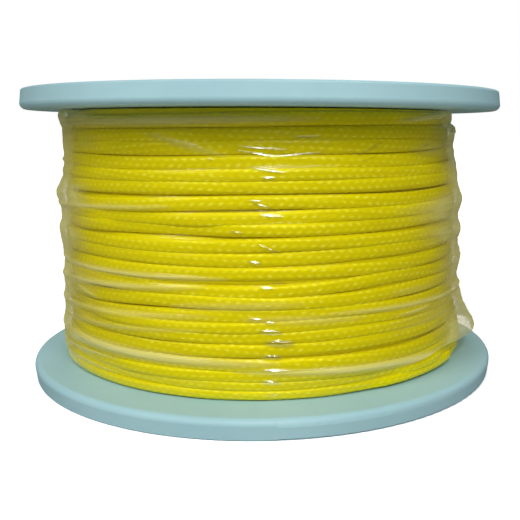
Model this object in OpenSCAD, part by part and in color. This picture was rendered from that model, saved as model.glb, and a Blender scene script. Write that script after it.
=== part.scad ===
// Spool of braided fishing line, standing on its lower flange with its axis up.
// Two moulded flanges are keyed onto a plain barrel, the line is wound between them in level
// layers, and a clear stretch film goes round the winding and flares out onto the flanges.

/* [Flanges] */
// Outer diameter of both flanges
flange_d = 102; // [94:1:120]
// Distance between the two flanges' inner faces
traverse = 52; // [40:0.5:54]
// Thickness of a flange at its rim
rim_t = 4; // [3.6:0.1:6]
// Radial width of the solid rim
rim_w = 5; // [3:0.5:7]
// Radius that rounds the rim's edge towards the line
rim_round = 1.2; // [0.6:0.1:1.7]
// Radius that rounds the rim's outer edge
rim_edge = 0.4; // [0.2:0.1:0.8]
// How much smaller the rim's radius is at its outer edge
rim_draft = 0.3; // [0.1:0.1:0.6]
// Thickness of the web inside the rim
web_t = 2.2; // [1.8:0.1:2.8]
// Number of stiffening ribs on the outer side
rib_count = 8; // [4:1:12]
// Width of a rib where it leaves the web
rib_w = 1.8; // [1.2:0.1:2.6]
// How much narrower each side of a rib is at its crest
rib_draft = 0.25; // [0.1:0.05:0.4]
// How far the crests of ribs and ring lie behind the rim's face
rib_drop = 0.4; // [0.2:0.1:0.8]

/* [Hub] */
// Bore for the spindle
arbor_d = 16; // [12:0.5:20]
// Wall of the hub sleeve
hub_wall = 3; // [2:0.25:4]
// Length of the hub sleeve, from the flange's outer face
hub_len = 14; // [12:0.5:18]
// Chamfer at both mouths of the bore
bore_chamfer = 0.6; // [0.3:0.1:1]

/* [Barrel] */
// Outer diameter of the barrel
barrel_d = 44; // [42:1:56]
// Wall of the barrel
barrel_wall = 2; // [1.5:0.1:2.5]
// Depth of the groove in each flange that the barrel's end stands in
seat_depth = 1; // [0.6:0.1:1.2]
// Wall of the flange's collar, inside the barrel
collar_wall = 1.6; // [1.2:0.1:2.2]
// Height of the collar above the flange's inner face
collar_h = 7; // [5:0.5:8]
// Number of keys that lock each flange to the barrel
key_count = 3; // [2:1:6]
// Width of a key
key_w = 3; // [2:0.25:5]
// Height of a key above the flange's inner face
key_h = 4; // [2.5:0.25:4.5]
// Clearance between barrel and flange, and between key and slot
fit_gap = 0.1; // [0.05:0.05:0.2]

/* [Line] */
// Outer diameter of the full winding
wind_d = 85; // [70:0.5:88]
// Thickness of the braided line
line_d = 2.1; // [2.1:0.05:3]
// Least open gap between neighbouring turns
turn_gap = 0.42; // [0.41:0.01:0.6]
// Clearance that the winding keeps from barrel, flanges and its own inner layers
lay_gap = 0.2; // [0.1:0.05:0.3]
// Bend of the line where it dives into the layers below
dive_bend = 2.2; // [1.9:0.1:3.2]
// Where round the spool the outer layer starts and ends, from the +X side
dive_at = 90; // [0:5:355]
// Where round the spool the line's inner end goes through the barrel
anchor_at = 0; // [0:5:355]
// Clearance of the anchor hole round the line
anchor_gap = 0.2; // [0.1:0.05:0.5]
// Wraps in the stopper knot
knot_wraps = 2; // [1:1:3]
// Length of the cut tail beyond the knot
knot_tail = 1; // [0.5:0.25:2]

/* [Film] */
// Thickness of the stretch film, all of its layers together
film_t = 0.2; // [0.1:0.05:0.3]
// Clearance between the winding and the film, and at the film's two edges
film_gap = 0.35; // [0.3:0.05:0.5]
// How deep the film clings into the grooves between turns
film_cling = 0.25; // [0:0.05:0.25]
// How far the film stands out at its lower edge
flare_low = 2.6; // [0.5:0.1:3.5]
// How far the film stands out at its upper edge
flare_high = 1.5; // [0.5:0.1:3.5]
// Height over which the film flares
flare_h = 6; // [3:0.5:10]

/* [Hidden] */
$fn = 96;
eps = 0.01;

spool_h = traverse + 2 * rim_t;
flange_r = flange_d / 2;
rim_in_r = flange_r - rim_w;
web_z = rim_t - web_t;
arbor_r = arbor_d / 2;
hub_r = arbor_r + hub_wall;

barrel_r = barrel_d / 2;
barrel_in_r = barrel_r - barrel_wall;
collar_r = barrel_in_r - fit_gap;
collar_in_r = collar_r - collar_wall;
groove_r = barrel_r + fit_gap;
groove_z = rim_t - seat_depth;
// The ring backs the groove, and reaches as far past it as the collar is thick
ring_in_r = collar_in_r;
ring_r = groove_r + collar_wall;

// The line is drawn with six sides, two of them level, so it is this high
sides = 6;
line_h = line_d * cos(180 / sides);
turn_r = wind_d / 2 - line_d / 2;
core_r = turn_r - line_d / 2 - lay_gap;
core_in_r = barrel_r + lay_gap;
first_z = rim_t + lay_gap + line_d / 2;
last_z = spool_h - first_z;
loops = floor((last_z - first_z) / (line_h + turn_gap));
pitch = (last_z - first_z) / loops;
rings_per_loop = 24;
bend_steps = 4;
pocket_r = dive_bend + lay_gap;

anchor_z = rim_t + collar_h + 3;
knot_r = line_d * 0.55;
knot_step = line_d * 0.85;

film_in_r = wind_d / 2 + film_gap;
film_low = rim_t + film_gap;
film_high = spool_h - rim_t - film_gap;
film_steps = 6;

plastic = [0.66, 0.8, 0.82];
yellow = [0.86, 0.83, 0.08];
clear = [0.85, 0.86, 0.8, 0.3];

// A flat ring, as one rectangle of a turned profile
module band(r_in, r_out, low, high) {
    translate([r_in, low]) square([r_out - r_in, high - low]);
}

// Outline of the rim: a drafted side between two rounded edges
module rim_profile() {
    outer_r = flange_r - rim_draft;
    polygon([[rim_in_r, 0], [outer_r - rim_edge, 0], [outer_r, rim_edge], [flange_r, rim_t - rim_round],
        [flange_r - rim_round, rim_t], [rim_in_r, rim_t]]);
    translate([outer_r - rim_edge, rim_edge]) circle(r = rim_edge);
    translate([flange_r - rim_round, rim_t - rim_round]) circle(r = rim_round);
}

// Everything on a flange that is turned: rim, web, hub sleeve, ring and collar
module turned_flange() {
    rotate_extrude() difference() {
        union() {
            rim_profile();
            band(arbor_r, rim_in_r + eps, web_z, rim_t);
            band(arbor_r, hub_r, 0, hub_len);
            band(ring_in_r, ring_r, rib_drop, rim_t);
            band(collar_in_r, collar_r, web_z, rim_t + collar_h);
        }
        band(collar_r, groove_r, groove_z, rim_t + collar_h + 1);
        // Chamfers of the bore
        polygon([[arbor_r - 1, -eps], [arbor_r + bore_chamfer, -eps], [arbor_r - 1, 1 + bore_chamfer]]);
        polygon([[arbor_r - 1, hub_len + eps], [arbor_r + bore_chamfer, hub_len + eps],
            [arbor_r - 1, hub_len - 1 - bore_chamfer]]);
    }
}

// One rib from hub to rim, with drafted sides
module rib() {
    start = hub_r - hub_wall / 2;
    length = rim_in_r + rim_w / 2 - start;
    translate([start, 0, 0]) rotate([90, 0, 90]) linear_extrude(length)
        polygon([[-rib_w / 2, web_z + web_t / 2], [rib_w / 2, web_z + web_t / 2],
            [rib_w / 2 - rib_draft, rib_drop], [-rib_w / 2 + rib_draft, rib_drop]]);
}

// A bar that lies across the barrel's wall, for a key or for its slot
module key_bar(gap, top) {
    translate([collar_in_r + collar_wall / 2, -key_w / 2 - gap, groove_z - eps])
        cube([barrel_wall + collar_wall / 2 + (gap > 0 ? collar_wall : fit_gap - lay_gap),
            key_w + 2 * gap, top - groove_z + eps]);
}

// A flange lying on its outer face
module flange() {
    turned_flange();
    for (i = [0 : rib_count - 1]) rotate(360 / rib_count * (i + 0.5)) rib();
    for (i = [0 : key_count - 1]) rotate(360 / key_count * i) key_bar(0, rim_t + key_h);
}

module lower_flange() {
    color(plastic) flange();
}

module upper_flange() {
    color(plastic) translate([0, 0, spool_h]) rotate([180, 0, 0]) flange();
}

// Tube between the flanges, slotted for their keys and drilled for the line's inner end
module barrel() {
    color(plastic) difference() {
        translate([0, 0, groove_z]) cylinder(r = barrel_r, h = spool_h - 2 * groove_z);
        translate([0, 0, groove_z - 1]) cylinder(r = barrel_in_r, h = spool_h - 2 * groove_z + 2);
        for (i = [0 : key_count - 1]) rotate(360 / key_count * i) {
            key_bar(fit_gap, rim_t + key_h + fit_gap);
            translate([0, 0, spool_h]) rotate([180, 0, 0]) key_bar(fit_gap, rim_t + key_h + fit_gap);
        }
        rotate(anchor_at) translate([0, 0, anchor_z]) rotate([0, 90, 0])
            cylinder(d = line_d + 2 * anchor_gap, h = barrel_r + 1);
    }
}

// Inner end of the line: through the barrel's hole and into a stopper knot behind it
module line_start() {
    knot_len = knot_step * (knot_wraps - 1) + line_d;
    length = core_in_r - lay_gap / 4 - barrel_in_r + lay_gap + knot_len + knot_tail;
    color(yellow) rotate(anchor_at) translate([core_in_r - lay_gap / 4, 0, anchor_z]) rotate([0, -90, 0]) {
        cylinder(d = line_d, h = length);
        for (i = [0 : knot_wraps - 1])
            translate([0, 0, length - knot_tail - line_d / 2 - i * knot_step])
                rotate_extrude() translate([knot_r, 0]) circle(d = line_d);
    }
}

// A hole along the last straight stretch of the line, with its floor where the line ends
module dive_pocket(side) {
    depth = turn_r - dive_bend - line_d;
    rotate(dive_at) translate([depth, -side * dive_bend, 0]) rotate([0, 90, 0])
        cylinder(r = pocket_r, h = core_r);
}

// Inner layers of the winding, as one ring
module line_core() {
    height = traverse - 2 * lay_gap;
    color(yellow) difference() {
        translate([0, 0, rim_t + lay_gap]) cylinder(r = core_r, h = height);
        translate([0, 0, rim_t]) cylinder(r = core_in_r, h = traverse);
        translate([0, 0, first_z]) dive_pocket(1);
        translate([0, 0, last_z]) dive_pocket(-1);
    }
}

// Points [x, y, heading] of the line in plan where it comes up out of the pocket
function rise() = [
    [turn_r - dive_bend - line_d, -dive_bend, 0],
    for (i = [0 : bend_steps - 1]) let (a = 90 * i / bend_steps)
        [turn_r - dive_bend + dive_bend * sin(a), -dive_bend * cos(a), a]];

// A plan point turned round the spool's axis and given a height
function placed(p, turn, z) = [p[0] * cos(turn) - p[1] * sin(turn), p[0] * sin(turn) + p[1] * cos(turn),
    z, p[2] + turn];

// The whole route of the outer layer: up out of the pocket, round and round, and down again
up = [for (p = rise()) placed(p, dive_at, first_z)];
round_and_round = [for (i = [0 : loops * rings_per_loop])
    placed([turn_r, 0, 90], dive_at + 360 * i / rings_per_loop,
        first_z + pitch * i / rings_per_loop)];
down = [for (i = [len(rise()) - 1 : -1 : 0]) let (p = rise()[i])
    placed([p[0], -p[1], 180 - p[2]], dive_at, last_z)];
route = concat(up, round_and_round, down);

// The corners of the line's section at one point of its route
function section(p) = [for (k = [0 : sides - 1]) let (across = cos(360 / sides * k) * line_d / 2)
    [p[0] + across * sin(p[3]), p[1] - across * cos(p[3]), p[2] + sin(360 / sides * k) * line_d / 2]];

turn_sections = [for (p = route) section(p)];

// Least distance between the corners of each turn and those of the next one
least_gap = min([for (i = [0 : len(route) - rings_per_loop - 2]) for (a = turn_sections[i])
    for (j = [i + rings_per_loop - 1 : i + rings_per_loop + 1]) for (b = turn_sections[j]) norm(a - b)]);
echo(least_gap_between_turns = least_gap, loops = loops);

// Outer layer of the winding, one unbroken line
module outer_turns() {
    last = len(route) - 1;
    walls = [for (i = [0 : last - 1]) for (k = [0 : sides - 1])
        let (a = i * sides + k, b = i * sides + (k + 1) % sides)
            each [[a, b, b + sides], [a, b + sides, a + sides]]];
    caps = [for (k = [1 : sides - 2])
        each [[0, k + 1, k], [last * sides, last * sides + k, last * sides + k + 1]]];
    color(yellow) polyhedron(points = [for (s = turn_sections) each s], faces = concat(walls, caps));
}

// How far the film flares out at a height, as a square law towards each edge, less how far it
// clings into the groove there
function film_out(z) = flare_low * pow(max(0, film_low + flare_h - z) / flare_h, 2)
    + flare_high * pow(max(0, z - film_high + flare_h) / flare_h, 2)
    - film_cling * (1 - cos(360 * (z - first_z) / pitch)) / 2;

// Stretch film round the winding
module film_wrap() {
    count = round((film_high - film_low) / pitch * film_steps);
    heights = [for (i = [0 : count]) film_low + (film_high - film_low) * i / count];
    inside = [for (z = heights) [film_in_r + film_out(z), z]];
    outside = [for (i = [count : -1 : 0]) [film_in_r + film_t + film_out(heights[i]), heights[i]]];
    color(clear) rotate_extrude() polygon(concat(inside, outside));
}

lower_flange();
upper_flange();
barrel();
line_start();
line_core();
outer_turns();
film_wrap();
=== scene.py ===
"""Looks for the spool of yellow braided line: finishes on the moulded flanges and barrel, the line
with its braid, and the clear stretch film round the winding. Metres, in the CAD's own frame."""

import math

import bpy
import numpy as np
from mathutils import Matrix, Vector

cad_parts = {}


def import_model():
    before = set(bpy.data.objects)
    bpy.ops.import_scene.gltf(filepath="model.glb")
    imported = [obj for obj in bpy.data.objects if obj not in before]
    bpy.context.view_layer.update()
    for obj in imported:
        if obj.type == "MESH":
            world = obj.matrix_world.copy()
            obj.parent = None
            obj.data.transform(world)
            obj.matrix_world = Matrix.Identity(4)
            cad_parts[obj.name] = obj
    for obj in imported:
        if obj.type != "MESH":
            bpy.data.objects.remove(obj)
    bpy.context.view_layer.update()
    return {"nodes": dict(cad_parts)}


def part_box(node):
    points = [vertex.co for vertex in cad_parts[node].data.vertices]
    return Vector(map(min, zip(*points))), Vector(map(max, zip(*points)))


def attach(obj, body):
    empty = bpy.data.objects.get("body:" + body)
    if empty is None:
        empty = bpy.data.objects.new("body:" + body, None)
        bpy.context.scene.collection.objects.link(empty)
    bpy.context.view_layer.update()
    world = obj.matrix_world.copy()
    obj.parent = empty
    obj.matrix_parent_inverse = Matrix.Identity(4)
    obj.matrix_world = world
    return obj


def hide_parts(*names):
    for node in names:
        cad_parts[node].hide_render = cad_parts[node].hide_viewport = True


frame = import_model()
MM = 0.001
TAU = 2 * math.pi

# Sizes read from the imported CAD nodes
spool_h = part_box("upper_flange")[1][2]
turns_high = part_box("outer_turns")[1]
core_low, core_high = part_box("line_core")
film_low, film_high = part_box("film_wrap")
start_low, start_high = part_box("line_start")
barrel_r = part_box("barrel")[1][0]
face_low = 4 * MM  # the flanges' inner faces, as far from the outer ones as a rim is thick
face_high = spool_h - face_low

# The line
TURNS = 22
LINE_ACROSS = 1.18 * MM  # half of its width along the spool's axis, where a turn has its usual room
LINE_DEEP = 1.05 * MM  # half of its thickness in and out
SQUARENESS = 0.66  # power on the section's cosine and sine: 1 is an ellipse, less is squarer
HALF_GIRTH = 4.1 * MM  # what the texture takes for half of the way round the section
PICK = 1.7 * MM  # from one strand's float to the next along the braid
BRAID_ANGLE = math.radians(10)
BRAID_RELIEF = 0.10 * MM
LEVEL_RELIEF = 0.6  # where the braid's relief neither lifts the surface nor sinks it
RING_STEP = 0.28 * MM  # between rings of points along the line
LENGTHS = 5  # meshes that the wound line is cut into
TURN_R = turns_high[0] - LINE_DEEP  # the outer layer's centreline
DIVE_AT = math.radians(90)  # where the outer layer comes up out of the pack and goes down into it
DIVE_BEND = 2.2 * MM  # radius of the line's bend there
DIVE_DEEP = 2.1 * MM  # its straight stretch below the bend
EASE = 1.2  # turns at either end of the outer layer over which its irregularities begin
# Heights in millimetres of each turn's middle at the front
FRONT = (5.1, 6.75, 8.3, 10.6, 13.4, 15.5, 17.5, 19.55, 22.05, 24.3, 27.3,
         30.0, 32.05, 35.1, 36.9, 39.5, 42.35, 44.3, 46.65, 49.3, 51.3, 53.95)
# The same at the back, after so many turns, for the lowest ones, which are stacked tight there, and for
# the last one. -1 and 23 stand for the neighbours that the ends don't have.
BACK = ((-1, 3.1), (0, 5.0), (1, 6.9), (2, 8.8), (3, 10.7), (22, 55.0), (23, 56.9))


def around(angle, middle):
    """Signed angle from middle, in the range of half a turn each way."""
    return (angle - middle + math.pi) % TAU - math.pi


def from_front(degrees):
    """Angle in the spool's frame of an azimuth in degrees from the front, towards +X."""
    return math.radians(degrees) - math.pi / 2


def waves(seed, count, most_round, shortest_up, unevenness=1.0):
    """A smooth random field of unit spread on a cylinder, as a function of angle and height in metres.
    It is the sum of count waves, whose sizes differ more where unevenness is larger. Each repeats at
    most most_round times round the cylinder, and none is shorter than shortest_up along it."""
    rng = np.random.default_rng(seed)
    m = rng.integers(0, most_round + 1, count)
    k = rng.uniform(-1, 1, count) * TAU / shortest_up
    phase = rng.uniform(0, TAU, count)
    size = rng.uniform(0.4, 1, count) ** unevenness
    size *= math.sqrt(2 / np.sum(size**2))

    def value(angle, height):
        out = np.zeros(np.broadcast(angle, height).shape)
        for a, b, c, d in zip(m, k, phase, size):
            out += d * np.cos(a * angle + b * height + c)
        return out

    return value


def ripple(seed, count, shortest):
    """A smooth random function of unit spread of one value. shortest is its shortest wavelength."""
    rng = np.random.default_rng(seed)
    k = TAU / (shortest * rng.uniform(1, 6, count))
    phase = rng.uniform(0, TAU, count)
    size = math.sqrt(2 / count)
    return lambda s: sum(size * np.cos(a * s + b) for a, b in zip(k, phase))


def bulge(angle, height, places):
    """Sum of smooth bumps on the cylinder, each given as azimuth from the front, height, reach each way
    in degrees and millimetres, and how tall it is in millimetres."""
    total = 0
    for azimuth, middle, reach, tall_reach, tall in places:
        across = around(angle, from_front(azimuth)) / math.radians(reach)
        total = total + tall * MM * np.exp(-across**2 - ((height / MM - middle) / tall_reach) ** 2)
    return total


def cylinder(radius, angle, height):
    """Points at these radii, angles and heights round the spool's axis."""
    return np.stack(np.broadcast_arrays(radius * np.cos(angle), radius * np.sin(angle), height), -1)


def grid_quads(rows, columns, close_rows=False, close_columns=False):
    """Faces of a grid of points that are numbered row by row. The last row may join the first one, and
    the last column the first one."""
    i = np.arange(rows if close_rows else rows - 1)[:, None]
    j = np.arange(columns if close_columns else columns - 1)[None, :]
    row, next_row, next_j = i * columns, (i + 1) % rows * columns, (j + 1) % columns
    return np.stack([row + j, row + next_j, next_row + next_j, next_row + j], -1).reshape(-1, 4)


def mesh_object(name, points, quads, uv=None, values=None, smooth=True):
    """A mesh object from arrays: points, faces of equal size, a UV pair and named values per point."""
    mesh = bpy.data.meshes.new(name)
    points, quads = np.asarray(points, np.float32), np.asarray(quads, np.int32)
    sides = quads.shape[1]
    mesh.vertices.add(len(points))
    mesh.vertices.foreach_set("co", points.ravel())
    mesh.loops.add(quads.size)
    mesh.loops.foreach_set("vertex_index", quads.ravel())
    mesh.polygons.add(len(quads))
    mesh.polygons.foreach_set("loop_start", np.arange(len(quads), dtype=np.int32) * sides)
    mesh.polygons.foreach_set("use_smooth", np.full(len(quads), smooth))
    mesh.update(calc_edges=True)
    if uv is not None:
        layer = mesh.uv_layers.new(name="UVMap")
        layer.data.foreach_set("uv", np.asarray(uv, np.float32)[quads.ravel()].ravel())
    for key, data in (values or {}).items():
        mesh.attributes.new(key, "FLOAT", "POINT").data.foreach_set("value", data.astype(np.float32))
    mesh.validate()
    obj = bpy.data.objects.new(name, mesh)
    bpy.context.scene.collection.objects.link(obj)
    return obj


def finish_piece(obj, material, node):
    """Give a piece its material, put it under the root body, and hide the CAD node that it stands for."""
    obj.data.materials.append(material)
    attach(obj, "root")
    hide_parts(node)
    return obj


# ---------------------------------------------------------------- materials

# Colours, linear
PLASTIC = (0.33, 0.54, 0.58)
PLASTIC_PALE = (0.365, 0.575, 0.615)
PLASTIC_BLOTCH = (0.315, 0.49, 0.525)
DUST = (0.10, 0.14, 0.13)
YELLOW = (0.81, 0.745, 0.0)
# painted shade, down the braid's valleys and in the grooves between turns
YELLOW_PAINTED_SHADE = (0.73, 0.62, 0.0)
YELLOW_FIBRE = (0.83, 0.79, 0.0)
YELLOW_PATCH = (0.68, 0.56, 0.0)
# painted highlight, pale flecks on the strands' crowns
YELLOW_PAINTED_HIGHLIGHT = (0.95, 0.92, 0.13)
FILM_THIN = (0.78, 0.72, 0.24)
FILM_MILKY = (0.84, 0.82, 0.39)


class Nodes:
    """Short calls that add nodes to one material."""

    def __init__(self, name):
        self.material = bpy.data.materials.new(name)
        self.material.use_nodes = True
        self.tree = self.material.node_tree
        self.tree.nodes.clear()
        self.out = self.tree.nodes.new("ShaderNodeOutputMaterial")

    def add(self, kind, values=None, **settings):
        """A node with its settings, and with a value or a link for each input that values names."""
        node = self.tree.nodes.new("ShaderNode" + kind)
        for key, value in settings.items():
            setattr(node, key, value)
        for key, value in (values or {}).items():
            if isinstance(value, bpy.types.NodeSocket):
                self.tree.links.new(value, node.inputs[key])
            else:
                node.inputs[key].default_value = value
        return node

    def math(self, operation, a, b=0.0):
        return self.add("Math", {0: a, 1: b}, operation=operation).outputs[0]

    def on_mesh(self, name):
        """A named value of the mesh's points."""
        return self.add("Attribute", attribute_name=name).outputs["Fac"]

    def noise(self, where, scale, detail=3.0, rough=0.55, distort=0.0):
        """Smooth noise, mostly between 0.3 and 0.7, at where times scale."""
        return self.add("TexNoise", {"Vector": where, "Scale": scale, "Detail": detail,
                                     "Roughness": rough, "Distortion": distort}).outputs[0]

    def stretched(self, where, scale):
        """Coordinates, each multiplied by its own scale."""
        return self.add("Mapping", {"Vector": where, "Scale": scale}).outputs[0]

    def ramp(self, value, *stops):
        """A colour ramp. Each stop is (position, colour), and a grey colour may be one number."""
        node = self.add("ValToRGB", {"Fac": value})
        points = node.color_ramp.elements
        while len(points) < len(stops):
            points.new(0.5)
        for point, (place, colour) in zip(points, stops):
            point.position = place
            point.color = (*colour, 1) if isinstance(colour, tuple) else (colour, colour, colour, 1)
        return node.outputs[0]

    def mixed(self, factor, a, b):
        """Colour a where the factor is 0 and b where it is 1, by the Mix node's colour sockets."""
        node = self.add("Mix", data_type="RGBA")
        for key, value in ((0, factor), (6, a), (7, b)):
            if isinstance(value, bpy.types.NodeSocket):
                self.tree.links.new(value, node.inputs[key])
            elif key:
                node.inputs[key].default_value = (*value, 1)
            else:
                node.inputs[key].default_value = value
        return node.outputs[2]

    def bump(self, height, strength, distance, normal=None):
        """A normal that height tilts, starting from another normal where one is given."""
        values = {"Height": height, "Strength": strength, "Distance": distance}
        if normal is not None:
            values["Normal"] = normal
        return self.add("Bump", values).outputs[0]

    def surface(self, shader):
        """The finished material, with this shader on its surface."""
        self.tree.links.new(shader, self.out.inputs["Surface"])
        return self.material


def plastic_material():
    """Pale blue moulded plastic: even, slightly waxy, with faint flow marks, rubs and dust specks."""
    n = Nodes("spool_plastic")
    where = n.add("TexCoord").outputs["Object"]
    flow = n.noise(where, 45, 2, 0.5, 0.6)
    grain = n.noise(where, 2600, 2)
    rubs = n.noise(n.stretched(where, (900, 900, 4200)), 1, 4, 0.65)
    blotch = n.noise(where, 160, 4, 0.6)
    colour = n.mixed(n.ramp(flow, (0.35, 0.0), (0.7, 1.0)), PLASTIC, PLASTIC_PALE)
    colour = n.mixed(n.ramp(blotch, (0.60, 0.0), (0.78, 0.25)), colour, PLASTIC_BLOTCH)
    specks = n.add("TexVoronoi", {"Vector": where, "Scale": 210.0, "Randomness": 1.0})
    small = n.math("LESS_THAN", specks.outputs["Distance"], 0.055)
    rare = n.math("GREATER_THAN", n.noise(where, 330, 0), 0.60)
    colour = n.mixed(n.math("MULTIPLY", small, rare), colour, DUST)
    rough = n.math("ADD", n.math("MULTIPLY", blotch, 0.16), n.math("MULTIPLY", rubs, 0.16))
    rough = n.math("ADD", rough, 0.32)
    normal = n.bump(grain, 0.12, 0.02 * MM)
    normal = n.bump(flow, 0.25, 0.25 * MM, normal)
    shader = n.add("BsdfPrincipled", {
        "Base Color": colour, "Roughness": rough, "Normal": normal, "IOR": 1.45,
        "Subsurface Weight": 0.12, "Subsurface Scale": 1.2 * MM})
    shader.inputs["Subsurface Radius"].default_value = (0.7, 1.0, 1.0)
    return n.surface(shader.outputs[0])


def line_material():
    """Bright yellow braid with fibres along each strand. Painted highlights make pale flecks on the
    strands' crowns, and painted shade makes a deeper colour between the strands.
    """
    n = Nodes("line_yellow")
    uv = n.add("UVMap", uv_map="UVMap").outputs[0]
    where = n.add("TexCoord").outputs["Object"]
    relief = n.on_mesh("relief")
    crisp_and_highlit = n.on_mesh("crisp_and_highlit")
    fibres = n.noise(n.stretched(uv, (900, 5200, 1)), 1, 3, 0.6, 0.3)
    highlight_flecks = n.noise(n.stretched(uv, (260, 700, 1)), 1, 1, 0.5)
    patches = n.noise(where, 220, 3, 0.6)
    # Painted shade: the colour deepens where the relief is low, down the strands' sides and between
    # strands and turns
    colour = n.ramp(relief, (0.35, YELLOW_PAINTED_SHADE), (1.0, YELLOW))
    colour = n.mixed(n.ramp(fibres, (0.35, 0.0), (0.75, 0.35)), colour, YELLOW_FIBRE)
    colour = n.mixed(n.ramp(patches, (0.45, 0.0), (0.75, 0.3)), colour, YELLOW_PATCH)
    # Painted highlight: pale flecks on the strands' crowns, where the lamps glint, strongest a little
    # right of the front
    raised = n.ramp(relief, (0.62, 0.0), (0.95, 1.0))
    painted_highlight = n.math("MULTIPLY", raised, n.ramp(highlight_flecks, (0.42, 0.0), (0.56, 1.0)))
    painted_highlight = n.math("MULTIPLY", painted_highlight, crisp_and_highlit)
    colour = n.mixed(n.math("MULTIPLY", painted_highlight, 0.6), colour, YELLOW_PAINTED_HIGHLIGHT)
    rough = n.math("ADD", n.math("MULTIPLY", fibres, 0.2), 0.30)
    rough = n.math("SUBTRACT", rough, n.math("MULTIPLY", painted_highlight, 0.14))
    normal = n.bump(fibres, 0.4, 0.03 * MM)
    shader = n.add("BsdfPrincipled", {
        "Base Color": colour, "Roughness": rough, "Normal": normal, "IOR": 1.5, "Specular IOR Level": 0.8,
        "Subsurface Weight": 0.25, "Subsurface Scale": 0.5 * MM})
    shader.inputs["Subsurface Radius"].default_value = (1.0, 0.9, 0.1)
    shader.inputs["Specular Tint"].default_value = (1, 0.92, 0.06, 1)
    return n.surface(shader.outputs[0])


def film_material():
    """Clear stretch film: gloss over fine creases, and milky along its folds and where it's edge-on."""
    n = Nodes("clear_film")
    uv = n.add("UVMap", uv_map="UVMap").outputs[0]
    milk = n.on_mesh("milk")
    streaks = n.noise(n.stretched(uv, (45, 900, 1)), 1, 4, 0.6, 0.4)
    wide = n.noise(n.stretched(uv, (28, 130, 1)), 1, 2)
    creases = n.noise(n.stretched(uv, (120, 700, 1)), 1, 3, 0.6, 0.6)
    ragged = n.noise(n.stretched(uv, (900, 2400, 1)), 1, 2, 0.6)
    streaky = n.ramp(streaks, (0.52, 0.0), (0.75, 1.0))
    thin = n.math("MULTIPLY", streaky, n.ramp(wide, (0.45, 0.0), (0.7, 1.0)))
    streaked = n.math("MULTIPLY", milk, n.ramp(streaks, (0.25, 0.7), (0.7, 1.0)))
    facing = n.add("LayerWeight", {"Blend": 0.5}).outputs["Facing"]
    edge = n.ramp(facing, (0.58, 0.0), (0.67, 0.20), (0.73, 0.66), (0.79, 0.95), (0.88, 1.0))
    haze = n.math("ADD", n.math("MULTIPLY", streaked, 0.9), n.math("MULTIPLY", thin, 0.05))
    haze = n.math("MAXIMUM", haze, n.ramp(milk, (0.84, 0.0), (0.97, 0.93)))
    haze = n.math("MAXIMUM", haze, edge)
    normal = n.bump(creases, 0.5, 0.05 * MM)
    normal = n.bump(ragged, 1.0, 0.11 * MM, normal)
    tint = n.ramp(milk, (0.3, FILM_THIN), (0.9, FILM_MILKY))
    clear = n.add("BsdfTransparent", {"Color": (0.99, 0.99, 0.98, 1)}).outputs[0]
    milky = n.add("BsdfDiffuse", {"Color": tint}).outputs[0]
    through = n.add("BsdfTranslucent", {"Color": tint}).outputs[0]
    scatter = n.add("MixShader", {0: 0.30, 1: milky, 2: through}).outputs[0]
    body = n.add("MixShader", {0: haze, 1: clear, 2: scatter}).outputs[0]
    gloss = n.add("BsdfGlossy", {"Color": (1, 1, 1, 1), "Roughness": 0.13, "Normal": normal}).outputs[0]
    mirror = n.add("Fresnel", {"IOR": 1.42, "Normal": normal}).outputs[0]
    mirror = n.math("MINIMUM", mirror, 0.22)
    mirror = n.math("ADD", mirror, n.math("MULTIPLY", n.on_mesh("shine"), 0.36))
    return n.surface(n.add("MixShader", {0: mirror, 1: body, 2: gloss}).outputs[0])


def floor_material(white):
    """A pale matt floor. To the camera it's as bright as the backdrop, and what it throws back is dull."""
    n = Nodes("studio_floor")
    where = n.add("TexCoord").outputs["Object"]
    path = n.add("LightPath")
    duller = white * 0.99
    pale = n.mixed(n.noise(where, 3, 2), (white, white, white), (duller, duller, duller))
    colour = n.mixed(path.outputs["Is Glossy Ray"], (0.50, 0.50, 0.50), (0.06, 0.06, 0.06))
    colour = n.mixed(path.outputs["Is Camera Ray"], colour, pale)
    return n.surface(n.add("BsdfDiffuse", {"Color": colour}).outputs[0])


# ---------------------------------------------------------------- the line


def braid(along, angle):
    """Relief of an eight-strand braid at a distance along the line and an angle round it: 1 on the crown
    of a strand's float, and less down its sides as far as the valleys."""
    radius = (LINE_ACROSS + LINE_DEEP) / 2
    half_long, half_wide = 0.9 * MM, 0.32 * MM
    valley = 0.35
    columns = 8
    best = np.zeros(np.broadcast(along, angle).shape)
    for k in range(columns):
        slant = BRAID_ANGLE if k % 2 else -BRAID_ANGLE
        across = around(angle, TAU * k / columns) * radius
        offset = along - PICK / 2 * (k % 2)
        nearest = offset - PICK * np.round(offset / PICK)
        for step in (-1, 0, 1):
            ds = nearest + step * PICK
            u = ds * math.cos(slant) + across * math.sin(slant)
            v = -ds * math.sin(slant) + across * math.cos(slant)
            rest = 1 - (u / half_long) ** 2 - (v / half_wide) ** 2
            best = np.maximum(best, np.clip(rest, 0, 1) ** 0.8)
    return np.maximum(best, valley)


def squared(value):
    """A cosine or sine bent so that the section it draws is squarer than an ellipse."""
    return np.sign(value) * np.abs(value) ** SQUARENESS


def section(places):
    """Angles of points on the line's section whose distances along it from its outermost point, from -1
    to 1, are places."""
    angle = np.linspace(-math.pi, math.pi, 4001)
    out, up = LINE_DEEP * squared(np.cos(angle)), LINE_ACROSS * squared(np.sin(angle))
    step = np.hypot(np.diff(out), np.diff(up))
    along = np.concatenate([[0], np.cumsum(step)])
    return np.interp(places, 2 * along / along[-1] - 1, angle)


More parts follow.
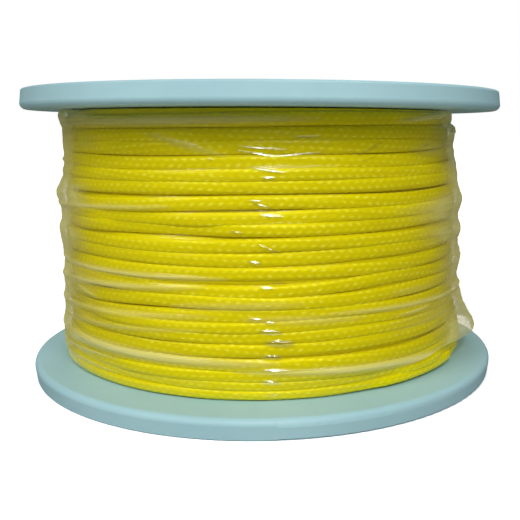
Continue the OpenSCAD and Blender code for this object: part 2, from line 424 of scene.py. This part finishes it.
def tube(centres, outward, across, deep, places, strength=1.0, seed=31):
    """A braided tube along centres, of half width across and half depth deep. places holds where its
    points are round its section, and strength how much of the braid's relief it has. Returns the
    points, their relief and where they are on the line."""
    along = np.concatenate([[0], np.cumsum(np.linalg.norm(np.diff(centres, axis=0), axis=1))])
    forward = np.gradient(centres, axis=0)
    up = np.cross(outward, forward)
    up /= np.linalg.norm(up, axis=1)[:, None]
    roll = 0.9 * ripple(seed, 5, 60 * MM)(along)
    relief = braid(along[:, None], math.pi * places[None, :] + roll[:, None])
    angle = section(places)
    grow = BRAID_RELIEF * np.broadcast_to(strength, along.shape)[:, None] * (relief - LEVEL_RELIEF)
    points = (centres[:, None, :]
              + ((deep[:, None] + grow) * squared(np.cos(angle)))[..., None] * outward[:, None, :]
              + ((across[:, None] + grow) * squared(np.sin(angle)))[..., None] * up[:, None, :])
    uv = np.stack(np.broadcast_arrays(along[:, None], places * HALF_GIRTH), -1)
    return points, relief, uv


# Where the turns lie higher or lower than at the front, where they leave a gap, and where the whole
# pack bulges or is drawn in, for bulge()
LAY_SHIFTS = [
    (-52, 21.0, 20, 3.0, -0.7),
    (36, 24.5, 16, 2.0, 0.5),
    (48, 10.0, 22, 4.0, -0.8),
    (-50, 10.0, 20, 3.5, -0.4),
    (-54, 37.5, 18, 2.2, -0.8),
]
GAPS = [
    (-2, 41.4, 34, 1.8, 0.12),
    (0, 34.1, 40, 1.8, 0.10),
    (12, 26.2, 34, 1.8, 0.12),
    (42, 19.2, 22, 1.6, 0.22),
    (26, 12.3, 26, 1.6, 0.12),
    (0, 52.8, 70, 1.6, 0.10),
]
PACK_BULGES = [
    (84, 6, 30, 7, 2.0),
    (-80, 5, 28, 5, 1.4),
    (-86, 26, 34, 15, 0.9),
    (82, 50, 32, 4.5, -2.0),
    (82, 55.5, 32, 3.0, -1.4),
]

# Which way the turns stray
shove = waves(4, 16, 5, 5.5 * MM)  # up or down
swell = waves(9, 18, 7, 4.5 * MM)  # out or in


def eased(t):
    """0 at both ends of the outer layer and 1 along the rest of it."""
    return np.clip(np.minimum(t, TURNS - t) / EASE, 0, 1)


def lay(t):
    """Height of the outer layer's centreline after t turns. Neighbours push each other up or down."""
    pushed, strayed = 0.14 * MM, 0.05 * MM  # how far by the neighbours, and how far by itself
    known = sorted([*BACK, *((turn + 0.5, height) for turn, height in enumerate(FRONT))])
    height = MM * np.interp(t, *zip(*known))
    angle = DIVE_AT + TAU * t
    wander = pushed * shove(angle, height) + strayed * ripple(12, 7, 0.16)(t)
    return height + eased(t) * (wander + bulge(angle, height, LAY_SHIFTS))


def turn_place(t):
    """Radius, height, half width and half depth of the line after t turns. It spreads where it has
    room, and where two turns are crowded one rides out over the other."""
    narrow, broad = 1.0 * MM, 1.36 * MM  # half widths between which a turn stays
    overlap = 0.24 * MM  # how far a turn reaches past the middle between it and its neighbour
    clear = 0.06 * MM  # between the line and a flange
    crowded = 1.85 * MM  # the pitch below which turns ride out
    ride = 0.55  # how far they do, as a share of what the pitch lacks
    stray, settled = 0.07 * MM, 0.05 * MM  # how unevenly and how much deeper than at the ends they lie
    height, above, below = lay(t), lay(t + 1), lay(t - 1)
    angle = DIVE_AT + TAU * t
    room = (above - below) / 4 + overlap
    across = np.clip(room, narrow, broad) - bulge(angle, height, GAPS)
    across = np.minimum(across, np.minimum(height - face_low, face_high - height) - clear)
    deep = LINE_DEEP * (LINE_ACROSS / across) ** 0.5
    crowd = np.clip(crowded - (above - height), 0, None) + np.clip(crowded - (height - below), 0, None)
    side = swell(angle, height)
    push = eased(t) * (ride * crowd * np.tanh(2 * side) + stray * side)
    pack = bulge(angle, height, PACK_BULGES)
    return TURN_R + push + pack - settled * eased(t), height, across, deep


def turns_route():
    """The whole outer layer: up out of the pack, round and round, and down into it again. Returns each
    ring's centre, its level vector out of the winding, its half width and half depth, and its angle."""
    t = np.linspace(0, TURNS, int(TAU * TURN_R * TURNS / RING_STEP) + 1)
    radius, height, across, deep = turn_place(t)
    angle = DIVE_AT + TAU * t
    turns, out = cylinder(radius, angle, height), cylinder(1, angle, 0)

    inner = TURN_R - DIVE_BEND
    straight = np.linspace(inner - DIVE_DEEP, inner, 8)[:-1]
    bend = np.linspace(0, math.pi / 2, 12)[:-1]
    sideways = np.concatenate([np.full(len(straight), DIVE_BEND), DIVE_BEND * np.cos(bend)])
    from_axis = np.concatenate([straight, inner + DIVE_BEND * np.sin(bend)])
    heading = np.concatenate([np.zeros(len(straight)), bend])

    def dive(side, z):
        """The stretch from inside the pack up to the first turn where side is 1, and its mirror image,
        for the last turn, where it is -1."""
        place = np.stack([side * sideways, from_axis, np.full(len(heading), z)], -1)
        facing = np.stack([side * np.cos(heading), np.sin(heading), 0 * heading], -1)
        return place, facing

    rise, rise_out = dive(1, turns[0, 2])
    fall, fall_out = dive(-1, turns[-1, 2])
    centres = np.concatenate([rise, turns, fall[::-1]])
    outward = np.concatenate([rise_out, out, fall_out[::-1]])
    across, deep, angle = (np.pad(v, len(heading), mode="edge") for v in (across, deep, angle))
    return centres, outward, across, deep, angle


def outer_turns(material):
    """The braided line's outer layer, as a tube with the braid's relief, cut into a few lengths. Its
    points lie closest on the side that shows. A little right of the front its braid is crispest and its
    painted highlights are strongest."""
    centres, outward, across, deep, where = turns_route()
    places = np.array([*np.linspace(-0.62, 0.62, 17), 0.76, 0.92, -0.92, -0.76])
    sides = len(places)
    crispest, reach = from_front(14), math.radians(52)
    off = around(where, crispest) / reach
    # The braid's relief and the line's painted highlight both follow this, strongest a little right of the
    # front
    crisp_and_highlit = np.clip(0.25 + 0.8 * np.exp(-off**2) + 0.15 * ripple(52, 9, 1.5)(where), 0.15, 1.1)
    points, relief, uv = tube(centres, outward, across, deep, places, crisp_and_highlit)
    cuts = np.linspace(0, len(centres) - 1, LENGTHS + 1).astype(int)
    pieces = []
    for number, (first, last) in enumerate(zip(cuts[:-1], cuts[1:]), 1):
        part = slice(first, last + 1)
        quads = grid_quads(last - first + 1, sides, close_columns=True)
        values = {"relief": relief[part].ravel(), "crisp_and_highlit": np.repeat(crisp_and_highlit[part], sides)}
        obj = mesh_object(f"outer_turns_{number}", points[part].reshape(-1, 3), quads,
                          uv[part].reshape(-1, 2), values)
        pieces.append(finish_piece(obj, material, "outer_turns"))
    return pieces


def line_start(material):
    """The line's inner end: through the barrel's hole, and a stopper knot of two wraps behind it. The
    knot's wraps are thin, and so is the line inside them."""
    middle = (Vector(start_low) + Vector(start_high)) / 2
    inner, outer = start_low[0], start_high[0]  # its cut end, and where it meets the winding
    x = np.concatenate([np.arange(outer, inner + 0.1 * MM, -0.2 * MM), [inner + 0.04 * MM, inner]])
    stem = np.stack([x, np.full(len(x), middle.y), np.full(len(x), middle.z)], -1)
    past_knot = np.clip((x - inner - 4.2 * MM) / (0.6 * MM), 0, 1)
    thick = (0.78 + 0.24 * past_knot) * MM
    thick[-2:] = 0.55 * MM, 0.03 * MM  # the cut end, which closes almost to a point
    level = np.broadcast_to([0.0, 0.0, 1.0], stem.shape)

    wraps, tucked = 2, 0.15  # wraps round the line, and how much of one more goes under at each end
    wrap = np.linspace(-tucked, wraps + tucked, 140) * TAU
    coil_r, coil_thick = 1.48 * MM, 0.72 * MM
    coil_from, coil_long = inner + 2.0 * MM, 2.0 * MM
    sunk = 0.9 * MM * np.clip(np.abs(wrap / TAU - wraps / 2) - 0.95, 0, 1) / 0.2
    ring = coil_r - sunk
    place = coil_from + coil_long * np.clip(wrap / (wraps * TAU), 0, 1)
    facing = np.stack([0 * wrap, np.cos(wrap), np.sin(wrap)], -1)
    coil = np.stack([place, middle.y + ring * facing[:, 1], middle.z + ring * facing[:, 2]], -1)
    size = np.full(len(wrap), coil_thick)

    sides = 20
    places = np.linspace(-1, 1, sides, endpoint=False)
    parts = [tube(stem, level, thick, thick, places), tube(coil, facing, size, size, places, seed=32)]
    points, relief, uv = (np.concatenate([field.reshape(-1, *field.shape[2:]) for field in fields])
                          for fields in zip(*parts))
    stem_quads, coil_quads = (grid_quads(len(c), sides, close_columns=True) for c in (stem, coil))
    quads = np.concatenate([stem_quads, coil_quads + len(stem) * sides])
    obj = mesh_object("knotted_line_end", points, quads, uv, {"relief": relief})
    finish_piece(obj, material, "line_start")


def inner_layers(material):
    """The layers under the outer one: a ring whose outside has the next layer's turns in it."""
    columns, rows = 360, 264
    pitch = 2.25 * MM
    arch_half = 0.52 * pitch  # a little more than half a pitch, so that turns meet in a groove
    from_barrel = 0.2 * MM
    stray = 0.06 * MM  # how unevenly its turns lie, out and in
    angle = np.arange(columns) * TAU / columns
    low, high = core_low[2], core_high[2]
    z = np.linspace(low, high, rows + 1)
    level = z[:, None]
    crown = core_high[0] + 1.6 * MM  # up between the outer turns, where part.scad's ring is below them
    turn = (level - low) / pitch - angle / TAU
    off = (turn - np.round(turn)) * pitch
    arch = np.sqrt(np.clip(1 - (off / arch_half) ** 2, 0, 1))
    radius = crown - LINE_DEEP * (1 - arch) + stray * swell(angle, level)
    radius = radius + bulge(angle, level, PACK_BULGES)
    inside = [cylinder(barrel_r + from_barrel, angle, end) for end in (high, low)]
    points = np.concatenate([cylinder(radius, angle, level).reshape(-1, 3), *inside])
    quads = grid_quads(rows + 1 + len(inside), columns, close_rows=True, close_columns=True)
    uv_rows = [np.stack([angle * crown, np.full(columns, v)], -1) for v in (*z, high + 0.02, low - 0.02)]
    # Relief at most 0.6, and 0 in the grooves and on the inside, gives these layers painted shade: darker
    # overall than the outer turns, darkest in their grooves
    relief = np.concatenate([arch.ravel() * 0.6, np.zeros(len(inside) * columns)])
    obj = mesh_object("inner_layers_of_line", points, quads, np.concatenate(uv_rows), {"relief": relief})
    finish_piece(obj, material, "line_core")


# ---------------------------------------------------------------- the film

FILM_COLUMNS, FILM_ROWS = 344, 288  # faces round it and up it
FILM_R = turns_high[0] + 0.4 * MM  # where it lies on the winding
SEAM_AT = 168  # azimuth of the film's inner end, at the back
LAP = 25  # degrees by which its outer end goes past the inner one
# Azimuths between which its columns lie closer, for the sharp creases there, and the share of all
# columns that comes before each
CLOSER_BETWEEN, COLUMNS_BEFORE = (-16, 18), (0.37, 0.62)
TIGHT_BEND, LOOSE_BEND = 2.3 * MM, 70 * MM  # radii at which it bridges gaps, drawn tight and loose
# Where its lower hem has ridden up, how far each way in radians, and by how much
LIFT_AT, LIFT_REACH, LIFT = from_front(68), 0.62, 4.6 * MM
# Towards the right of the photograph the film is milky all over: heights in millimetres with the
# azimuth where that starts at each, and the azimuth where it ends, out of the photograph's sight
MILKY_FROM = ((12, 66), (17, 70), (22, 61), (30, 63), (35, 67), (38, 59), (44, 57), (46, 50), (57, 52))
MILKY_TO = 104

# Folds in the film: azimuth and height where each starts and ends, its width, and how milky it is.
# Azimuths are in degrees round from the front, towards +X. Heights and widths are in millimetres.
FOLDS = [
    (-76, 53.2, 14, 54.0, 1.7, 0.8),
    (-72, 54.6, -40, 53.4, 2.6, 0.6),
    (34, 53.6, 66, 55.6, 1.1, 0.85),
    (56, 55.0, 104, 54.6, 3.4, 0.9),
    (48, 50.4, 128, 50.6, 9.0, 0.75),
    (-30, 51.6, -8, 47.6, 1.1, 0.4),
    (40, 48.6, 72, 49.0, 3.0, 0.4),
    (-80, 36.9, -22, 38.8, 1.0, 0.7),
    (-80, 26.0, -8, 26.4, 1.1, 0.75),
    (-84, 22.0, -14, 24.8, 1.3, 0.7),
    (-59, 21.8, -46, 20.2, 0.6, 0.6),
    (-84, 16.8, -12, 19.6, 1.3, 0.55),
    (-76, 14.2, -14, 17.0, 1.0, 0.5),
    (-88, 11.7, 4, 11.0, 1.9, 0.9),
    (-86, 8.2, -40, 9.5, 0.9, 0.8),
    (-86, 6.9, -40, 6.6, 0.7, 0.7),
    (84, 18.9, 14, 19.7, 1.0, 0.75),
    (50, 18.2, 35, 17.7, 0.5, 0.7),
    (32, 22.2, 54, 22.0, 1.2, 0.3),
    (88, 7.4, -8, 9.7, 1.5, 0.95),
    (110, 7.8, 58, 9.6, 9.0, 0.98),
    (54, 51.4, 104, 51.6, 4.6, 0.97),
    (-130, 10.0, -62, 12.0, 6.0, 0.6),
    (-24, 21.2, 10, 21.8, 1.3, 0.4),
    (-6, 19.2, 26, 18.4, 1.5, 0.4),
]
# Sharp creases that cross the turns: the same, but for how far each stands up in place of the milk
CREASES = [
    (-6.8, 49.3, 6.6, 48.6, 0.28, 0.24),
    (-7.2, 48.7, 2.8, 47.5, 0.30, 0.24),
    (2.0, 47.5, 15.0, 48.4, 0.30, 0.24),
    (-3.0, 45.7, 5.0, 44.8, 0.40, 0.28),
    (6.2, 50.9, 14.2, 51.0, 0.28, 0.20),
    (22.0, 47.4, 30.5, 50.3, 0.30, 0.24),
    (23.4, 46.6, 28.5, 47.6, 0.25, 0.18),
    (25.1, 47.0, 25.7, 45.5, 0.30, 0.22),
    (45.5, 48.5, 47.2, 50.1, 0.35, 0.25),
    (-3.1, 39.8, 1.6, 38.7, 0.35, 0.24),
    (-2.0, 32.6, 4.2, 30.7, 0.35, 0.24),
    (-1.4, 37.6, 4.6, 37.3, 0.50, 0.22),
    (-4.4, 29.5, -0.4, 29.1, 0.45, 0.20),
    (-8.8, 34.9, -4.6, 34.4, 0.35, 0.22),
    (0.8, 25.7, 5.2, 25.6, 0.40, 0.20),
    (-1.6, 24.9, 2.4, 24.7, 0.40, 0.20),
    (-4.0, 19.3, -0.6, 19.1, 0.40, 0.20),
    (-0.8, 18.7, 3.0, 18.5, 0.45, 0.20),
    (-1.8, 17.0, 4.6, 16.7, 0.75, 0.24),
    (-0.6, 14.9, 7.6, 14.6, 1.10, 0.28),
    (-1.2, 12.4, 4.4, 12.1, 0.70, 0.22),
    (-1.0, 10.0, 5.6, 9.7, 0.45, 0.20),
    (-13.0, 47.2, -11.8, 46.9, 0.30, 0.22),
    (-1.6, 7.7, 3.8, 7.5, 0.70, 0.24),
    (0.0, 5.4, 3.4, 5.3, 0.50, 0.12),
    (-0.8, 44.0, 2.6, 43.9, 0.50, 0.24),
    (-3.8, 40.1, -0.4, 39.9, 0.35, 0.20),
]
FULL_SHINE = 0.26  # how far, in millimetres, a crease with a shine of 1 stands up
# Where the film stands off the line or is drawn in, in the form that bulge() takes
FILM_BULGES = [
    (-84, 39.5, 30, 3.0, 1.5),
    (-84, 31.3, 30, 2.6, 1.2),
    (-84, 27.5, 24, 2.2, 0.6),
    (-84, 36.5, 30, 4.0, 0.8),
    (-84, 51.0, 30, 5.0, 0.5),
    (-84, 16.8, 28, 2.2, 0.9),
    (-82, 22.0, 30, 4.0, 0.8),
    (-82, 12.0, 26, 4.0, 1.2),
    (-76, 55.6, 24, 2.2, 1.2),
    (84, 37.5, 30, 2.4, 1.1),
    (84, 31.2, 28, 1.6, 0.7),
    (84, 24.6, 28, 2.8, 1.0),
    (84, 17.0, 26, 3.5, 1.1),
    (84, 33.0, 32, 14.0, 0.6),
    (82, 14.0, 26, 2.4, 0.4),
    (80, 8.5, 24, 4.2, 2.9),
    (150, 33.0, 34, 2.4, 0.8),
    (205, 18.0, 36, 2.8, 0.8),
    (195, 45.0, 30, 2.2, 0.7),
    (82, 48.6, 32, 3.4, -1.2),
]


def streak(angle, height, start, end, width):
    """1 along a tapered line from start to end on the cylinder, falling to 0 beside it."""
    a0, a1 = from_front(start[0]), from_front(end[0])
    share = around(angle, a0) / around(a1, a0)
    taper = np.clip(np.sin(math.pi * np.clip(share, 0, 1)), 0, 1) ** 0.5
    line = (start[1] + (end[1] - start[1]) * share) * MM
    half = width * MM / 2 * (0.35 + 0.65 * taper)
    return taper * np.exp(-np.abs((height - line) / half) ** 2.5)


def streaks(angle, height, table):
    """For each fold or crease of a table, its streak on the film times its last value."""
    for a0, z0, a1, z1, width, strength in table:
        yield strength * streak(angle, height, (a0, z0), (a1, z1), width)


def back_folds():
    """More folds like the chosen ones, round the sides and back."""
    rng = np.random.default_rng(77)
    for _ in range(26):
        start = rng.uniform(78, 250)
        length = rng.uniform(25, 75)
        height = rng.uniform(6, 54)
        rise, width, strength = rng.normal(0, 1.2), rng.uniform(0.6, 1.7), rng.uniform(0.35, 0.9)
        yield start, height, start + length, height + rise, width, strength


def stretched_over_turns():
    """Radius of a film drawn tight over the turns, and of one that lies loose on them, each on a grid
    of heights and angles. The film bridges the gaps in an arc, so its bend has a least radius."""
    columns, rows = 360, 421
    bridge_rows = 60  # how far an arc is followed either way, past the middle of any gap
    angle = np.arange(columns) * TAU / columns
    z = np.linspace(face_low, face_high, rows)
    level = z[:, None]
    first = ((angle - DIVE_AT) % TAU) / TAU
    crowns = TURN_R + bulge(angle, level, PACK_BULGES)
    for n in range(TURNS):
        radius, height, across, deep = turn_place(first + n)
        off = np.clip(np.abs((level - height) / across), 0, 1)
        arch = (1 - off ** (2 / SQUARENESS)) ** (SQUARENESS / 2)
        crown = radius + (deep + 0.25 * BRAID_RELIEF) * arch
        crowns = np.where(off < 1, np.maximum(crowns, crown), crowns)
    step = z[1] - z[0]
    tight, loose = crowns.copy(), crowns.copy()
    for shift in range(1, bridge_rows):
        drop = (shift * step) ** 2 / 2
        above, below = crowns.copy(), crowns.copy()
        above[shift:], below[:-shift] = crowns[:-shift], crowns[shift:]
        moved = np.maximum(above, below)
        tight = np.maximum(tight, moved - drop / TIGHT_BEND)
        loose = np.maximum(loose, moved - drop / LOOSE_BEND)
    return tight, loose


def sampled(grid, angle, height):
    """Values of a grid of heights and angles, at points between its own."""
    rows, columns = grid.shape
    last = rows - 1.001  # just short of the last row, so that there is always one above
    row = np.clip((height - face_low) / (face_high - face_low), 0, 1) * last
    column = (angle % TAU) / TAU * columns
    i, j = row.astype(int), column.astype(int) % columns
    up, on = row - i, column - np.floor(column)
    k = (j + 1) % columns
    low = grid[i, j] * (1 - on) + grid[i, k] * on
    high = grid[i + 1, j] * (1 - on) + grid[i + 1, k] * on
    return low * (1 - up) + high * up


def film_grid():
    """Angle and height of the film's points, in rows from hem to hem, and how far each is round from
    the inner end. The film goes once round the winding and its outer end lies over its inner one."""
    slant, waver = 0.05, 0.012  # of the outer end's edge, in radians
    clear = 0.1 * MM  # above the lower end of part.scad's film, and below the upper flange's face
    ragged_low, ragged_high = 0.18 * MM, 0.25 * MM  # how unevenly the hems are cut
    closer = ((azimuth - SEAM_AT) % 360 / (360 + LAP) for azimuth in CLOSER_BETWEEN)
    columns = np.linspace(0, 1, FILM_COLUMNS + 1)
    share = np.interp(columns, (0, *COLUMNS_BEFORE, 1), (0, *closer, 1))[None, :]
    up = np.linspace(0, 1, FILM_ROWS + 1)[:, None]
    lap = np.radians(LAP) + slant * (up - 0.5) + waver * ripple(61, 6, 0.12)(up)
    turned = share * (TAU + lap)
    angle = from_front(SEAM_AT) + turned
    lift = LIFT * np.exp(-(around(angle, LIFT_AT) / LIFT_REACH) ** 4)
    low = film_low[2] + clear + lift + ragged_low * (1 + waves(41, 8, 5, 1)(angle, 0 * angle)) / 2
    high = face_high - clear - ragged_high * np.clip(waves(42, 8, 4, 1)(angle, 0 * angle), 0, 1)
    return angle, low + (high - low) * up, turned


def milky_side(angle, height):
    """How milky the film is towards the right of the photograph, apart from its folds."""
    rise, fade = 15, 26  # degrees over which the milk comes and goes
    start = np.interp(height / MM, *zip(*MILKY_FROM))
    past = np.degrees(around(angle, from_front(90))) + 90 - start
    there = np.clip(past / rise, 0, 1) * np.clip((MILKY_TO - start - past) / fade, 0, 1)
    return there * np.clip(0.68 + 0.26 * waves(71, 16, 5, 6 * MM)(angle, height), 0, 0.9)


def film_shape():
    """Angle, radius and height of the film's points on a grid, with how milky and how shiny each is."""
    ridge_tall, fold_tall = 0.16 * MM, 0.35 * MM  # how far small ridges and folds stand up
    least = 0.05 * MM  # from the turns
    lap_rise = 0.20 * MM  # how far the outer end stands off the inner one
    angle, height, turned = film_grid()
    milk = np.maximum.reduce(list(streaks(angle, height, (*FOLDS, *back_folds()))))

    # It lies tight at the front and slacker round the sides and along its folds
    snug = np.exp(-(around(angle, from_front(3)) / 0.5) ** 2)
    uneven = waves(21, 16, 6, 16 * MM)(angle, height)
    slack = np.clip(0.30 * (1 - snug) + (0.35 - 0.25 * snug) * uneven, 0, 1)
    slack = np.clip(slack + milk * 0.5, 0, 1)
    tight, loose = (sampled(grid, angle, height) for grid in stretched_over_turns())
    radius = tight + (loose - tight) * slack + (0.10 + 0.30 * slack**2) * MM
    ridges = np.clip(1 - np.abs(waves(33, 40, 9, 2.4 * MM, 0.5)(angle, height)), 0, 1) ** 2
    radius += ridge_tall * ridges * slack + fold_tall * milk
    shine = np.zeros_like(height)
    for crease in streaks(angle, height, CREASES):
        radius += MM * crease
        shine = np.maximum(shine, crease / FULL_SHINE)
    radius = np.maximum(radius + bulge(angle, height, FILM_BULGES), tight + least)

    # It's milky too where it stands well off the line
    off_loose = (radius - loose - 0.30 * MM) / (0.5 * MM)
    off_tight = (radius - tight - 0.9 * MM) / (0.6 * MM)
    milk = np.maximum(milk, 0.72 * np.clip(np.maximum(off_loose, off_tight), 0, 1))
    milk = np.maximum(milk, milky_side(angle, height))

    # The outer end climbs over the inner one
    over = np.clip((turned - TAU + 0.14) / 0.12, 0, 1)
    radius += lap_rise * over**2 * (3 - 2 * over)
    return angle, radius, height, milk, shine


def film_wrap(material):
    """The stretch film, as one open sheet that rests on the outer turns."""
    angle, radius, height, milk, shine = film_shape()
    points = cylinder(radius, angle, height).reshape(-1, 3)
    quads = grid_quads(FILM_ROWS + 1, FILM_COLUMNS + 1)
    uv = np.stack([angle * FILM_R, height], -1).reshape(-1, 2)
    obj = mesh_object("stretch_film", points, quads, uv, {"milk": milk.ravel(), "shine": shine.ravel()})
    finish_piece(obj, material, "film_wrap")


# ---------------------------------------------------------------- studio


def floor(material):
    """A square floor, 6 m across, that the spool stands on."""
    half = 3.0
    corners = [(-half, -half, 0), (half, -half, 0), (half, half, 0), (-half, half, 0)]
    obj = mesh_object("floor", corners, [[0, 1, 2, 3]], smooth=False)
    obj.data.materials.append(material)


def sun(name, up, side, wide, strength):
    """A far lamp, up and side degrees from straight in front of the object, wide degrees across. Lamps
    behind the object make no reflections."""
    light = bpy.data.lights.new(name, "SUN")
    light.angle, light.energy = math.radians(wide), strength
    obj = bpy.data.objects.new(name, light)
    bpy.context.scene.collection.objects.link(obj)
    obj.rotation_euler = (math.radians(90 - up), 0, math.radians(side))
    obj.visible_glossy = abs(side) < 90


def panel(name, place, across, power):
    """A round lamp at place, across wide, turned to the front of the winding."""
    light = bpy.data.lights.new(name, "AREA")
    light.shape, light.size, light.energy = "DISK", across, power
    obj = bpy.data.objects.new(name, light)
    bpy.context.scene.collection.objects.link(obj)
    obj.location = place
    aim = Vector((0, -turns_high[0], 35 * MM))
    obj.rotation_euler = (aim - obj.location).to_track_quat("-Z", "Y").to_euler()
    obj.visible_camera = False


def world(strength, in_gloss):
    """A white backdrop to the camera, in_gloss in reflections, and an even light for all the rest."""
    sky = bpy.data.worlds.new("studio")
    sky.use_nodes = True
    tree = sky.node_tree
    path = tree.nodes.new("ShaderNodeLightPath")
    level = tree.nodes.new("ShaderNodeMapRange")
    level.inputs["To Min"].default_value = strength
    level.inputs["To Max"].default_value = in_gloss
    tree.links.new(path.outputs["Is Glossy Ray"], level.inputs["Value"])
    seen = tree.nodes.new("ShaderNodeMath")
    seen.operation = "MAXIMUM"
    tree.links.new(level.outputs[0], seen.inputs[0])
    tree.links.new(path.outputs["Is Camera Ray"], seen.inputs[1])
    tree.links.new(seen.outputs[0], tree.nodes["Background"].inputs["Strength"])
    tree.nodes["Background"].inputs["Color"].default_value = (1, 1, 1, 1)
    bpy.context.scene.world = sky


def camera():
    """The photograph's view: a close, slightly high camera with the spool left of its middle. Its
    values come from a fit to both flanges' outlines."""
    lens, shift = 52.29, -0.0885
    away, high = 171.7 * MM, 52.44 * MM
    pitch, roll, yaw = 0.17307, 0.00206, 0.05509  # radians
    data = bpy.data.cameras.new("camera")
    data.lens, data.sensor_width, data.shift_x = lens, 36, shift
    data.clip_start = 0.01
    obj = bpy.data.objects.new("camera", data)
    bpy.context.scene.collection.objects.link(obj)
    obj.matrix_world = (Matrix.Translation((0, -away, high)) @ Matrix.Rotation(-yaw, 4, "Z")
                        @ Matrix.Rotation(math.pi / 2 - pitch, 4, "X") @ Matrix.Rotation(roll, 4, "Z"))
    bpy.context.scene.camera = obj


def studio():
    """A close, soft key light and a hard core in front and above, soft lights beside and behind, and a
    low fill."""
    lamps = (  # name, degrees up, to the side and across, and strength
        ("core", 42, 5, 6, 0.82),
        ("right", 35, 34, 16, 0.40),
        ("left", 38, -50, 34, 1.14),
        ("back", 45, 180, 40, 0.50),
    )
    for lamp in lamps:
        sun(*lamp)
    panel("key", (0.024, -0.316, 0.283), 0.24, 0.51)
    fill, fill_in_gloss = 0.15, 0.02
    world(fill, fill_in_gloss)
    floor_white = 1.25  # past 1, so that the lit floor is white all over to the camera
    lit = sum(power * math.sin(math.radians(up)) for _, up, _, _, power in lamps)
    floor(floor_material(floor_white / (lit / math.pi + fill)))
    camera()
    bpy.context.scene.view_settings.view_transform = "Standard"


plastic, yellow, clear = plastic_material(), line_material(), film_material()
for name in ("lower_flange", "upper_flange", "barrel"):
    frame["nodes"][name].data.materials[0] = plastic
turns = outer_turns(yellow)
inner_layers(yellow)
line_start(yellow)
film_wrap(clear)
studio()
